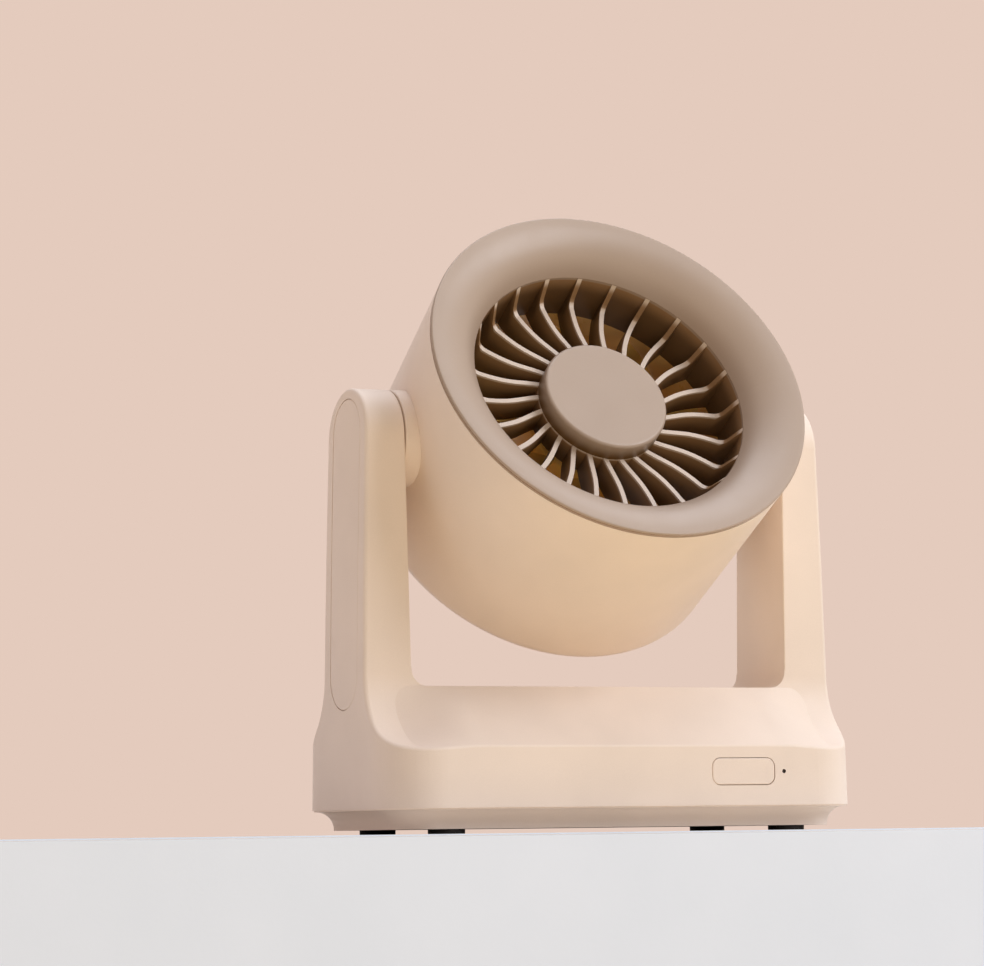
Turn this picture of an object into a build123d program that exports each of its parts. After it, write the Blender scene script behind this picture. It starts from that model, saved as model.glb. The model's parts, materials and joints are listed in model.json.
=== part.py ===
from build123d import *

import os
from math import asin, atan2, cos, degrees, radians, sin, tan

# Desktop air circulator fan: a drum-shaped head on a U-shaped yoke.
# Millimetres. +Z is up, +X is the fan's right as seen from the front, and the air leaves
# towards -Y. The origin is on the table, under the middle of the base.

os.makedirs("parts", exist_ok=True)

# ---- Base and arms ----
base_length = 184.2
base_depth = 87.8
corner_radius = 20.0
skirt_bottom = 8.8
skirt_top = 29.5
skirt_draft = 1.3
wall = 2.6
deck_height = 51.0
deck_depth = 39.0
deck_corner = 6.0
straight_roof_half = 56.0
pivot_height = 138.5
arm_radius = 17.1
arm_foot_half_depth = 18.0
flare_radius = 26.0
flare_drop = 0.3
foot_top = 57.5
arm_top = pivot_height + arm_radius
end_waist = (91.3, 66.0)
end_crown = (88.9, arm_top + 1)
gap_half_low = 73.55
gap_half_high = 75.05
edge_round = 1.4
trim = 2.0  # how far rough solids stand past the outside before they are trimmed
arm_wall_inside = 77.4
wire_way_x = 82.5
inner_round = 0.5

# ---- Arm caps ----
cap_radius = 12.0
cap_low = 55.0
cap_high = 140.0
cap_thickness = 1.6
cap_gap = 0.2
channel_radius = 10.2
cap_rim_start = 84.5
cap_rim_wall = 1.2
cap_edge = 0.45

# ---- Base plate, feet and what the base holds ----
plate_bottom = 1.7
plate_floor = 3.9
plate_lip = 0.5
cove = 6.5
foot_radius = 6.4
foot_x = 66.4
foot_y = 29.6
foot_seat = 3.0
screw_radius = 1.45
screw_head_radius = 2.8
screw_head_depth = 1.8
screw_length = 14.0
screw_post_radius = 3.6
screw_hole_depth = 12.0
plate_post_radius = 5.5
board_post_radius = 2.2
foot_edge = 0.25
cell_radius = 9.1
cell_length = 65.0
cell_start = -50.0
lower_cell = 14.7
upper_cell = 33.6
board_thickness = 1.6
board_top = 17.5
socket_height = 3.2
socket_width = 8.9
socket_depth = 7.4
socket_z = board_top + 0.1 + socket_height / 2
socket_mouth_y = base_depth / 2 - 0.5
board_length = 48.0
board_width = 28.0
board_y = 26.5

# ---- Power button ----
button_x = 42.0
button_z = 20.6
button_width = 25.2
button_height = 9.7
button_corner = 3.3
button_gap = 0.22
button_edge = 0.4
lamp_x = 58.2
lamp_radius = 0.7
switch_board_y = -36.0
switch_board_x = 45.0
switch_board_length = 34.0
switch_board_bottom = 8.9
switch_board_top = 26.5
switch_body = 3.2
plunger_radius = 1.7
plunger_length = 2.0
flange_front = 40.75
flange_thickness = 0.9
skirt_face_y = base_depth / 2 - (button_z - skirt_bottom) * tan(radians(skirt_draft))

# ---- Head ----
tilt = 31.75
drum_radius = 70.7
drum_front = 40.5
drum_back = -39.5
drum_taper = 2.2
drum_wall = 2.4
drum_edge = 6.0
rear_opening = 58.2
rim_radius = 70.8
rim_front = 42.6
neck_radius = 69.9
lip_radius = 51.2
lip_front = 32.4
funnel_start = 69.6
funnel_middle = (59.2, 39.64)
bezel_back = ((66.6, 40.48), (60.07, 38.07), (52.5, 31.3))
rim_thickness = 1.0
plug_radius = 68.1
plug_depth = 4.0
throat_radius = 51.4
duct_back = -35.8
grille_back = -39.3
rear_rim_inner = 53.2
rear_rings = (30.0, 41.5)
rear_rib_count = 20
motor_plate_radius = 18.5
rear_screw_ring = 55.6
rear_screw_radius = 1.1

# ---- Front grille: swirled guide fins ----
fin_count = 24
fin_first = -2.8
fin_thickness = 1.7
fin_front = 22.0
fin_back = 12.0
fin_bend = 3.5
fin_bend_radius = 47.9
fin_swirl = ((21.5, -7.6), (27.0, -3.7), (34.0, 0.0), (42.0, 0.9), (52.6, -0.1))
hub_radius = 23.2
hub_front = 29.3
hub_edge = 1.3
hub_wall = 1.6
hub_plate_back = 14.0
hub_plate = 2.0
ring_front = 31.3
ring_outer = 53.0

# ---- Impeller and motor ----
blade_count = 9
blade_tip = 50.2
blade_thickness = 1.4
blade_middle = -1.0
impeller_hub = 21.6
impeller_front = 10.0
impeller_back = -28.0
shaft_radius = 2.0
bearing_radius = 5.0
bearing_width = 4.0
rear_bearing = -34.6
front_bearing = -18.0
tube_radius = 7.0
stator_radius = 16.2
stator_back = -29.5
stator_length = 10.0
pole_count = 6
can_radius = 18.6
can_back = -32.0
can_front = -11.0

# ---- Pivots ----
hub_face = 74.2
stub_radius = 6.0
stub_end = 82.6
wire_bore_radius = 3.6
hub_root = 60.0
hub_face_edge = 0.6
bush_clearance = 0.06
bush_radius = 8.0
stop_ring = 12.5
stop_pin = 1.5
stop_slot = 3.4
tilt_up_limit = 90.0
tilt_down_limit = -30.0
stop_groove_floor = 76.6
stop_low_angle = 270 - (tilt_up_limit - tilt_down_limit) / 2
stop_pin_angle = stop_low_angle + tilt_up_limit - tilt

pivot = Vector(0, 0, pivot_height)
forward = Vector(0, -cos(radians(tilt)), sin(radians(tilt)))
upward = Vector(0, sin(radians(tilt)), cos(radians(tilt)))
head_plane = Plane(origin=pivot, x_dir=(1, 0, 0), z_dir=forward)
head_section = Plane(origin=pivot, x_dir=(1, 0, 0), z_dir=-upward)
head_axis = Axis(pivot, forward)


def polar(radius, angle):
    """Point at a radius and an angle in degrees, in a sketch."""
    return (radius * cos(radians(angle)), radius * sin(radians(angle)))


def write(builder, name):
    """Label a finished piece and write it under its own name."""
    builder.part.label = name
    export_step(builder.part, f"parts/{name}.step")


# ==================== Yoke: base and both arms, one moulding ====================

# Outside limits of the base and arms: drafted faces and large plan corners.
with BuildPart() as envelope:
    with BuildSketch(Plane.XZ):
        with BuildLine():
            right_end = ThreePointArc((base_length / 2, skirt_bottom), end_waist, end_crown)
            mirror(right_end, about=Plane.YZ)
            Line((-base_length / 2, skirt_bottom), (base_length / 2, skirt_bottom))
            Line((-end_crown[0], end_crown[1]), end_crown)
        make_face()
    extrude(amount=base_depth / 2, both=True)
    lean = (end_crown[1] - skirt_bottom) * tan(radians(skirt_draft))
    with BuildSketch(Plane.YZ):
        Polygon(
            (-base_depth / 2, skirt_bottom),
            (base_depth / 2, skirt_bottom),
            (base_depth / 2 - lean, end_crown[1]),
            (-base_depth / 2 + lean, end_crown[1]),
            align=None,
        )
    extrude(amount=base_length, both=True, mode=Mode.INTERSECT)
    upright_edges = envelope.edges().filter_by(lambda edge: edge.bounding_box().size.Z > pivot_height)
    fillet(upright_edges, corner_radius)

# Sloping shoulders of the base. Each place is an X and how far the slope has turned into
# the hollow flare of the arm foot there. The last one lies inside the foot.
shoulder_places = ((straight_roof_half, 0), (62, 0), (72, 0.45), (82, 1), (88, 1.18))
shoulder_hollow = 6.0
toe_drop = 0.9
crest_tuck = 1.7

with BuildPart() as shoulders:
    for place, share in shoulder_places:
        with BuildSketch(Plane.YZ.offset(place)):
            toe = Vector(base_depth / 2 - 0.2, skirt_top - toe_drop * share)
            crest = Vector(deck_depth / 2 - crest_tuck * share, deck_height)
            inward = Vector(toe.Y - crest.Y, crest.X - toe.X).normalized()
            bend = (toe + crest) / 2 + inward * (2 * shoulder_hollow * share)
            with BuildLine():
                Line((0, skirt_bottom), (base_depth / 2 + trim, skirt_bottom))
                Line((base_depth / 2 + trim, skirt_bottom), (base_depth / 2 + trim, toe.Y - 1))
                Line((base_depth / 2 + trim, toe.Y - 1), toe)
                Bezier(toe, bend, crest)
                Line(crest, (0, deck_height))
                mirror(about=Plane.YZ)
            make_face()
    loft()
    extrude(shoulders.faces().sort_by(Axis.X)[0], amount=straight_roof_half)
    mirror(about=Plane.YZ)
    add(envelope.part, mode=Mode.INTERSECT)
    shoulder_rim = shoulders.edges().filter_by(
        lambda edge: edge.bounding_box().min.Z > skirt_top - 1
        and edge.bounding_box().max.Z < deck_height - 15
        and abs(edge.center().Y) > 30
    )
    fillet(shoulder_rim, edge_round)

# Room in the base for the cells and boards, open below.
with BuildPart() as base_cavity:
    with BuildSketch(Plane.XY.offset(skirt_bottom)):
        RectangleRounded(base_length - 2 * wall, base_depth - 2 * wall, corner_radius - wall)
    extrude(amount=skirt_top - wall - skirt_bottom)
    with BuildSketch(Plane.XY.offset(skirt_top - wall)):
        RectangleRounded(2 * straight_roof_half + 8, base_depth - 3 * wall, 4)
    with BuildSketch(Plane.XY.offset(deck_height - wall)):
        RectangleRounded(2 * straight_roof_half, deck_depth - 2 * wall, 4)
    loft()


def inside_end(inset):
    """Solid reaching from the middle to an inset copy of the arms' outer face, on the +X side."""
    with BuildPart() as region:
        with BuildSketch(Plane.XZ):
            with BuildLine():
                face_line = ThreePointArc(
                    (base_length / 2 - inset, skirt_bottom),
                    (end_waist[0] - inset, end_waist[1]),
                    (end_crown[0] - inset, end_crown[1]),
                )
                Polyline(face_line @ 0, (0, skirt_bottom), (0, end_crown[1]), face_line @ 1)
            make_face()
        extrude(amount=base_depth / 2, both=True)
    return region.part


def upright_slot(radius, start, end):
    """Round-ended bar along X behind an arm cap."""
    with BuildPart() as bar:
        with BuildSketch(Plane.YZ.offset(start)):
            with Locations((0, (cap_low + cap_high) / 2)):
                SlotCenterToCenter(cap_high - cap_low, 2 * radius, rotation=90)
        extrude(amount=end - start)
    return bar.part


with BuildPart() as cap_seat:
    add(upright_slot(cap_radius, arm_wall_inside + 2, base_length / 2 + trim))
    add(inside_end(cap_thickness), mode=Mode.SUBTRACT)

with BuildPart() as arm_channel:
    add(upright_slot(channel_radius, arm_wall_inside, base_length / 2 + trim))
    with BuildSketch(Plane.XY.offset(skirt_top - wall - 1)):
        with Locations((wire_way_x, 0)):
            Rectangle(7, 14)
    extrude(amount=cap_low - skirt_top)

with BuildPart() as cap_rim:
    add(upright_slot(channel_radius - cap_gap, cap_rim_start, base_length / 2 + trim))
    add(
        upright_slot(channel_radius - cap_gap - cap_rim_wall, cap_rim_start, base_length / 2 + trim),
        mode=Mode.SUBTRACT,
    )
    add(inside_end(cap_thickness), mode=Mode.INTERSECT)

# Arms over feet that flare out to the skirt. Seen from the side, the arm's edge is the
# line that touches both the flare and the round top.
with BuildPart() as arms:
    with BuildSketch(Plane.YZ):
        with BuildLine():
            rim = skirt_top - flare_drop
            flare_centre = Vector(arm_foot_half_depth + flare_radius, rim + flare_radius)
            centre_line = Vector(0, pivot_height) - flare_centre
            arm_lean = degrees(
                atan2(-centre_line.X, centre_line.Y) - asin((flare_radius + arm_radius) / centre_line.length)
            )
            Line((0, skirt_bottom), (base_depth / 2 + trim, skirt_bottom))
            Line((base_depth / 2 + trim, skirt_bottom), (base_depth / 2 + trim, rim))
            Line((base_depth / 2 + trim, rim), (flare_centre.X, rim))
            flare = CenterArc(flare_centre, flare_radius, 180 + arm_lean, 90 - arm_lean)
            top_round = CenterArc((0, pivot_height), arm_radius, arm_lean, 90 - arm_lean)
            Line(flare @ 0, top_round @ 0)
            mirror(about=Plane.YZ)
        make_face()
    extrude(amount=base_length, both=True)
    add(envelope.part, mode=Mode.INTERSECT)

    # The space between the arms, with rounded inside corners on the deck.
    with BuildSketch(Plane.XZ) as arm_gap:
        Polygon(
            (-gap_half_low, deck_height),
            (gap_half_low, deck_height),
            (gap_half_high, arm_top + 5),
            (-gap_half_high, arm_top + 5),
            align=None,
        )
        fillet(arm_gap.vertices().group_by(Axis.Y)[0], deck_corner)
    extrude(amount=base_depth, both=True, mode=Mode.SUBTRACT)
    outer_rim = arms.edges().filter_by(
        lambda edge: edge.bounding_box().min.Z > skirt_top - 1
        and (abs(edge.center().X) > 88 or abs(edge.center().Y) > 30)
    )
    fillet(outer_rim, edge_round)

with BuildPart() as arm_feet:
    add(arms.part)
    split(bisect_by=Plane.XY.offset(foot_top), keep=Keep.BOTTOM)

# Above the feet, the arms' inner edges are rounded too.
with BuildPart() as arm_tops:
    add(arms.part)
    split(bisect_by=Plane.XY.offset(foot_top), keep=Keep.TOP)
    inner_rim = arm_tops.edges().filter_by(
        lambda edge: abs(abs(edge.center().X) - 74.3) < 1 and edge.center().Z > foot_top + 1
    )
    fillet(inner_rim, inner_round)

with BuildPart() as yoke_frame:
    # One quarter of the joined shoulders, feet and arms, mirrored to both sides.
    add(shoulders.part)
    add(arm_feet.part)
    add(arm_tops.part)
    split(bisect_by=Plane.XZ, keep=Keep.BOTTOM)
    split(bisect_by=Plane.YZ, keep=Keep.TOP)
    mirror(about=Plane.XZ)
    mirror(about=Plane.YZ)
    # Hollows: the base, the channels up the arms and the seats of the arm caps.
    add(base_cavity.part, mode=Mode.SUBTRACT)
    add(cap_seat.part, mode=Mode.SUBTRACT)
    add(arm_channel.part, mode=Mode.SUBTRACT)
    mirror(cap_seat.part, about=Plane.YZ, mode=Mode.SUBTRACT)
    mirror(arm_channel.part, about=Plane.YZ, mode=Mode.SUBTRACT)

    # Bores for the pivot bushes, and the groove that the tilt stop pin runs in.
    with BuildSketch(Plane.YZ.offset(-base_length / 2)):
        with Locations((0, pivot_height)):
            Circle(bush_radius)
    extrude(amount=base_length, mode=Mode.SUBTRACT)
    with BuildSketch(Plane.YZ.offset(-stop_groove_floor)):
        with BuildLine(mode=Mode.PRIVATE) as stop_path:
            CenterArc((0, pivot_height), stop_ring, stop_low_angle, tilt_up_limit - tilt_down_limit)
        SlotArc(stop_path.edge(), stop_slot)
    extrude(amount=stop_groove_floor - hub_face, mode=Mode.SUBTRACT)

    # Posts that take the base screws, and the holes of the button, lamp and charging socket.
    with BuildSketch(Plane.XY.offset(skirt_bottom)):
        with GridLocations(2 * foot_x, 2 * foot_y, 2, 2):
            Circle(screw_post_radius)
    extrude(amount=skirt_top - skirt_bottom)
    with BuildSketch(Plane.XY.offset(skirt_bottom)):
        with GridLocations(2 * foot_x, 2 * foot_y, 2, 2):
            Circle(screw_radius + 0.05)
    extrude(amount=screw_hole_depth, mode=Mode.SUBTRACT)
    with BuildSketch(Plane.XZ.offset(base_depth / 2 - wall - 1)):
        with Locations((button_x, button_z)):
            RectangleRounded(button_width, button_height, button_corner)
        with Locations((lamp_x, button_z)):
            Circle(lamp_radius + 0.05)
    extrude(amount=wall + 4, mode=Mode.SUBTRACT)
    with BuildSketch(Plane.XZ.offset(-base_depth / 2 + wall + 1)):
        with Locations((0, socket_z)):
            SlotOverall(socket_width + 0.6, socket_height + 0.6)
    extrude(amount=-wall - 4, mode=Mode.SUBTRACT)
write(yoke_frame, "yoke_frame")

# ==================== Arm caps ====================

with BuildPart() as right_arm_cap:
    # The plate, flush with the arm's outer face, and its softened outer edge.
    add(upright_slot(cap_radius - cap_gap, arm_wall_inside + 2, base_length / 2 + trim))
    add(inside_end(0), mode=Mode.INTERSECT)
    add(inside_end(cap_thickness), mode=Mode.SUBTRACT)
    fillet(right_arm_cap.faces().sort_by(Axis.X)[-1].edges(), cap_edge)
    # The rim that locates it in the channel.
    add(cap_rim.part)
write(right_arm_cap, "right_arm_cap")

with BuildPart() as left_arm_cap:
    mirror(right_arm_cap.part, about=Plane.YZ)
write(left_arm_cap, "left_arm_cap")

# ==================== Base plate, feet and screws ====================

with BuildPart() as base_plate:
    # Thin lip under the skirt, and the body below it that tucks in by a hollow cove.
    with BuildSketch(Plane.XY.offset(skirt_bottom - plate_lip)):
        RectangleRounded(base_length - 1, base_depth - 1, corner_radius - 0.5)
    extrude(amount=plate_lip)
    with BuildSketch(Plane.XY.offset(plate_bottom)):
        RectangleRounded(base_length - 2 * cove - 2, base_depth - 2 * cove - 2, corner_radius - cove - 1)
    extrude(amount=skirt_bottom - plate_lip - plate_bottom)
    lip_face = base_plate.faces().filter_by(Plane.XY).group_by(Axis.Z)[-2][0]
    fillet(lip_face.inner_wires()[0].edges(), cove - 0.3)

    # Tray inside, with its screw posts, board posts and the slot of the switch board.
    with BuildSketch(Plane.XY.offset(plate_floor)):
        RectangleRounded(base_length - 4 * cove, base_depth - 4 * cove, 3)
    extrude(amount=skirt_bottom, mode=Mode.SUBTRACT)
    with BuildSketch(Plane.XY.offset(plate_floor - 0.5)):
        with GridLocations(2 * foot_x, 2 * foot_y, 2, 2):
            Circle(plate_post_radius)
    extrude(amount=skirt_bottom - plate_floor + 0.5)
    with BuildSketch(Plane.XY.offset(plate_floor - 0.5)):
        with Locations((0, board_y)):
            with GridLocations(board_length - 6, board_width - 14, 2, 2):
                Circle(board_post_radius)
    extrude(amount=board_top - board_thickness - plate_floor + 0.5)
    with BuildSketch(Plane.XY.offset(skirt_bottom - 1)):
        with Locations((switch_board_x, switch_board_y + board_thickness / 2)):
            with GridLocations(switch_board_length - 6, 0, 2, 1):
                Rectangle(5, board_thickness + 4)
            Rectangle(switch_board_length, board_thickness + 0.2, mode=Mode.SUBTRACT)
    extrude(amount=4)

    # Foot recesses, screw heads and screw holes, from below.
    with BuildSketch(Plane.XY.offset(plate_bottom)):
        with GridLocations(2 * foot_x, 2 * foot_y, 2, 2):
            Circle(foot_radius + 0.1)
    extrude(amount=foot_seat - plate_bottom, mode=Mode.SUBTRACT)
    with BuildSketch(Plane.XY.offset(foot_seat)):
        with GridLocations(2 * foot_x, 2 * foot_y, 2, 2):
            Circle(screw_head_radius + 0.3)
    extrude(amount=screw_head_depth + 0.2, mode=Mode.SUBTRACT)
    with BuildSketch(Plane.XY.offset(foot_seat)):
        with GridLocations(2 * foot_x, 2 * foot_y, 2, 2):
            Circle(screw_radius + 0.2)
    extrude(amount=skirt_bottom, mode=Mode.SUBTRACT)
write(base_plate, "base_plate")

with BuildPart() as rubber_feet:
    with BuildSketch():
        with GridLocations(2 * foot_x, 2 * foot_y, 2, 2):
            Circle(foot_radius)
    extrude(amount=foot_seat - 0.05)
    chamfer(rubber_feet.faces().group_by(Axis.Z)[0].edges(), foot_edge)
write(rubber_feet, "rubber_feet")

with BuildPart() as base_screws:
    with BuildSketch(Plane.XY.offset(foot_seat + 0.2)):
        with GridLocations(2 * foot_x, 2 * foot_y, 2, 2):
            Circle(screw_head_radius)
    extrude(amount=screw_head_depth)
    with BuildSketch(Plane.XY.offset(foot_seat + 1)):
        with GridLocations(2 * foot_x, 2 * foot_y, 2, 2):
            Circle(screw_radius)
    extrude(amount=screw_length)
write(base_screws, "base_screws")

# ==================== Power: cells, tray, boards and socket ====================

with BuildPart() as battery_cells:
    with BuildSketch(Plane.YZ.offset(cell_start)):
        with Locations((0, lower_cell), (0, upper_cell)):
            Circle(cell_radius)
    extrude(amount=cell_length)
    fillet(battery_cells.edges().filter_by(GeomType.CIRCLE), 0.6)
write(battery_cells, "battery_cells")

with BuildPart() as battery_tray:
    # Open-sided cradle: two end walls and a spine, bored for the two cells.
    tray_length = cell_length + 6
    with BuildSketch(Plane.XY.offset(plate_floor + 0.05)):
        with Locations((cell_start + cell_length / 2, 0)):
            Rectangle(tray_length, 21)
    extrude(amount=upper_cell + 6 - plate_floor)
    with BuildSketch(Plane.YZ.offset(cell_start - 0.3)):
        with Locations((0, lower_cell), (0, upper_cell)):
            Circle(cell_radius + 0.1)
    extrude(amount=cell_length + 0.6, mode=Mode.SUBTRACT)
    with BuildSketch(Plane.XY.offset(plate_floor + 1.6)):
        with Locations((cell_start + cell_length / 2, 0)):
            Rectangle(cell_length - 16, 30)
    extrude(amount=upper_cell, mode=Mode.SUBTRACT)
write(battery_tray, "battery_tray")

with BuildPart() as main_board:
    with BuildSketch(Plane.XY.offset(board_top - board_thickness)):
        with Locations((0, board_y)):
            Rectangle(board_length, board_width)
    extrude(amount=board_thickness)
    # Charging coil, controller and a row of capacitors on the top side.
    with BuildSketch(Plane.XY.offset(board_top)):
        with Locations((-15, board_y + 2)):
            RectangleRounded(8, 8, 1)
    extrude(amount=4)
    with BuildSketch(Plane.XY.offset(board_top)):
        with Locations((14, board_y)):
            Rectangle(6, 6)
    extrude(amount=1)
    with BuildSketch(Plane.XY.offset(board_top)):
        with Locations((15, board_y - 8)):
            with GridLocations(6, 0, 2, 1):
                Circle(2.4)
    extrude(amount=6)
write(main_board, "main_board")

with BuildPart() as usb_socket:
    # Oval metal shell with its tongue, mouth flush with the back of the skirt.
    with BuildSketch(Plane.XZ.offset(-socket_mouth_y)):
        with Locations((0, socket_z)):
            SlotOverall(socket_width, socket_height)
    extrude(amount=socket_depth)
    with BuildSketch(Plane.XZ.offset(-socket_mouth_y)):
        with Locations((0, socket_z)):
            SlotOverall(socket_width - 0.7, socket_height - 0.7)
    extrude(amount=socket_depth - 1, mode=Mode.SUBTRACT)
    with BuildSketch(Plane.XZ.offset(-socket_mouth_y + 0.8)):
        with Locations((0, socket_z)):
            Rectangle(6.6, 0.7)
    extrude(amount=socket_depth - 1)
write(usb_socket, "usb_socket")

with BuildPart() as switch_board:
    with BuildSketch(Plane.XZ.offset(-switch_board_y - board_thickness)):
        with Locations((switch_board_x, (switch_board_bottom + switch_board_top) / 2)):
            Rectangle(switch_board_length, switch_board_top - switch_board_bottom)
    extrude(amount=board_thickness)
write(switch_board, "switch_board")

with BuildPart() as tact_switch:
    with BuildSketch(Plane.XZ.offset(-switch_board_y)):
        with Locations((button_x, button_z)):
            Rectangle(6, 6)
    extrude(amount=switch_body)
    with BuildSketch(Plane.XZ.offset(-switch_board_y + 0.6)):
        with Locations((button_x, button_z)):
            Circle(plunger_radius + 0.08)
    extrude(amount=switch_body, mode=Mode.SUBTRACT)
write(tact_switch, "tact_switch")

with BuildPart() as lamp_lens:
    with BuildSketch(Plane.XZ.offset(-switch_board_y)):
        with Locations((lamp_x, button_z)):
            Circle(lamp_radius)
    extrude(amount=skirt_face_y + switch_board_y - 0.1)
write(lamp_lens, "lamp_lens")

# ==================== Power button ====================

with BuildPart() as power_button:
    # The cap in its hole, following the skirt's draft, with a softened face.
    with BuildSketch(Plane.XZ.offset(flange_front)):
        with Locations((button_x, button_z)):
            button_outline = RectangleRounded(
                button_width - 2 * button_gap, button_height - 2 * button_gap, button_corner - button_gap
            )
    extrude(amount=skirt_face_y - flange_front)
    fillet(power_button.faces().sort_by(Axis.Y)[0].edges(), button_edge)
    # The flange behind the wall that keeps it in.
    with BuildSketch(Plane.XZ.offset(flange_front - flange_thickness)):
        with Locations((button_x, button_z)):
            RectangleRounded(button_width + 2.4, button_height + 2.4, button_corner + 1)
    extrude(amount=flange_thickness)
write(power_button, "power_button")

with BuildPart() as switch_plunger:
    with BuildSketch(Plane.XZ.offset(flange_front - flange_thickness - plunger_length)):
        with Locations((button_x, button_z)):
            Circle(plunger_radius)
    extrude(amount=plunger_length)
write(switch_plunger, "switch_plunger")

# ==================== Pivots ====================

with BuildPart() as right_pivot_bush:
    # Flanged bush in the arm's inner wall.
    with BuildSketch(Plane.YZ.offset(hub_face + 0.8)):
        with Locations((0, pivot_height)):
            Circle(bush_radius)
    extrude(amount=arm_wall_inside - hub_face - 0.8)
    with BuildSketch(Plane.YZ.offset(arm_wall_inside)):
        with Locations((0, pivot_height)):
            Circle(bush_radius + 1.8)
    extrude(amount=1.2)
    with BuildSketch(Plane.YZ.offset(hub_face)):
        with Locations((0, pivot_height)):
            Circle(stub_radius + bush_clearance)
    extrude(amount=10, mode=Mode.SUBTRACT)
write(right_pivot_bush, "right_pivot_bush")

with BuildPart() as left_pivot_bush:
    mirror(right_pivot_bush.part, about=Plane.YZ)
write(left_pivot_bush, "left_pivot_bush")

# The drum's own outside, for cutting the pivot hubs to it.
taper_rise = tan(radians(drum_taper))
drum_back_radius = drum_radius - (drum_front - drum_back) * taper_rise

with BuildPart() as drum_solid:
    with BuildSketch(head_section):
        Polygon(
            (0, drum_back),
            (drum_back_radius, drum_back),
            (drum_radius, drum_front),
            (0, drum_front),
            align=None,
        )
    revolve(axis=head_axis)

with BuildPart() as right_pivot_hub:
    # Round boss between the drum and the arm, and the hollow stub shaft that the head turns on.
    with BuildSketch(Plane.YZ.offset(hub_root)):
        with Locations((0, pivot_height)):
            Circle(arm_radius)
    extrude(amount=hub_face - hub_root)
    fillet(right_pivot_hub.faces().sort_by(Axis.X)[-1].edges(), hub_face_edge)
    add(drum_solid.part, mode=Mode.SUBTRACT)
    with BuildSketch(Plane.YZ.offset(hub_root)):
        with Locations((0, pivot_height)):
            Circle(stub_radius)
    extrude(amount=stub_end - hub_root)
    with BuildSketch(Plane.YZ.offset(hub_root)):
        with Locations((0, pivot_height)):
            Circle(wire_bore_radius)
    extrude(amount=stub_end - hub_root, mode=Mode.SUBTRACT)
write(right_pivot_hub, "right_pivot_hub")

with BuildPart() as left_pivot_hub:
    mirror(right_pivot_hub.part, about=Plane.YZ)
    # Stop pin that runs in the groove of the left arm and ends the tilt.
    with BuildSketch(Plane.YZ.offset(-hub_face + 1)):
        with Locations((0, pivot_height)):
            with Locations(polar(stop_ring, stop_pin_angle)):
                Circle(stop_pin)
    extrude(amount=-1 - stop_groove_floor + hub_face + 0.4)
write(left_pivot_hub, "left_pivot_hub")

with BuildPart() as friction_washers:
    for side in (-1, 1):
        with BuildSketch(Plane.YZ.offset(side * (arm_wall_inside + 1.3))):
            with Locations((0, pivot_height)):
                Circle(8.4)
                Circle(stub_radius + 0.1, mode=Mode.SUBTRACT)
        extrude(amount=side * 0.8)
write(friction_washers, "friction_washers")

with BuildPart() as pivot_nuts:
    for side in (-1, 1):
        with BuildSketch(Plane.YZ.offset(side * (arm_wall_inside + 2.1))):
            with Locations((0, pivot_height)):
                RegularPolygon(8.6, 6)
                Circle(stub_radius, mode=Mode.SUBTRACT)
        extrude(amount=side * 3)
write(pivot_nuts, "pivot_nuts")

# ==================== Head: drum shell, bezel and duct ====================

with BuildPart() as drum_shell:
    # Tapered drum with a rounded back edge, turned in from the half section.
    with BuildSketch(head_section) as shell_section:
        Polygon(
            (drum_radius, drum_front),
            (drum_back_radius, drum_back),
            (rear_opening, drum_back),
            (rear_opening, drum_back + drum_wall),
            (drum_back_radius - drum_wall, drum_back + drum_wall),
            (drum_radius - drum_wall, drum_front),
            align=None,
        )
        corners = shell_section.vertices()
        fillet(corners.sort_by_distance((drum_back_radius, drum_back, 0))[0], drum_edge)
        corners = shell_section.vertices()
        inner_corner = (drum_back_radius - drum_wall, drum_back + drum_wall, 0)
        fillet(corners.sort_by_distance(inner_corner)[0], drum_edge - drum_wall)
    revolve(axis=head_axis)
    with BuildSketch(Plane.YZ.offset(-drum_radius - 5)):
        with Locations((0, pivot_height)):
            Circle(stub_radius)
    extrude(amount=2 * drum_radius + 10, mode=Mode.SUBTRACT)
write(drum_shell, "drum_shell")

with BuildPart() as front_bezel:
    # Trumpet-shaped face from the rim down to the lip, with a shadow neck over the drum.
    with BuildSketch(head_section) as bezel_section:
        with BuildLine():
            face_curve = ThreePointArc((lip_radius, lip_front), funnel_middle, (funnel_start, rim_front))
            back_curve = ThreePointArc(*bezel_back)
            Polyline(
                face_curve @ 1,
                (rim_radius, rim_front),
                (rim_radius, rim_front - rim_thickness),
                (neck_radius, rim_front - rim_thickness),
                (neck_radius, drum_front),
                (plug_radius, drum_front),
                (plug_radius, drum_front - plug_depth),
                (plug_radius - 1.5, drum_front - plug_depth),
                back_curve @ 0,
            )
            Polyline(back_curve @ 1, (lip_radius, ring_front), face_curve @ 0)
        make_face()
        fillet(bezel_section.vertices().sort_by_distance((rim_radius, rim_front, 0))[0], 0.6)
        fillet(bezel_section.vertices().sort_by_distance((rim_radius, rim_front - rim_thickness, 0))[0], 0.3)
    revolve(axis=head_axis)
write(front_bezel, "front_bezel")

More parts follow.
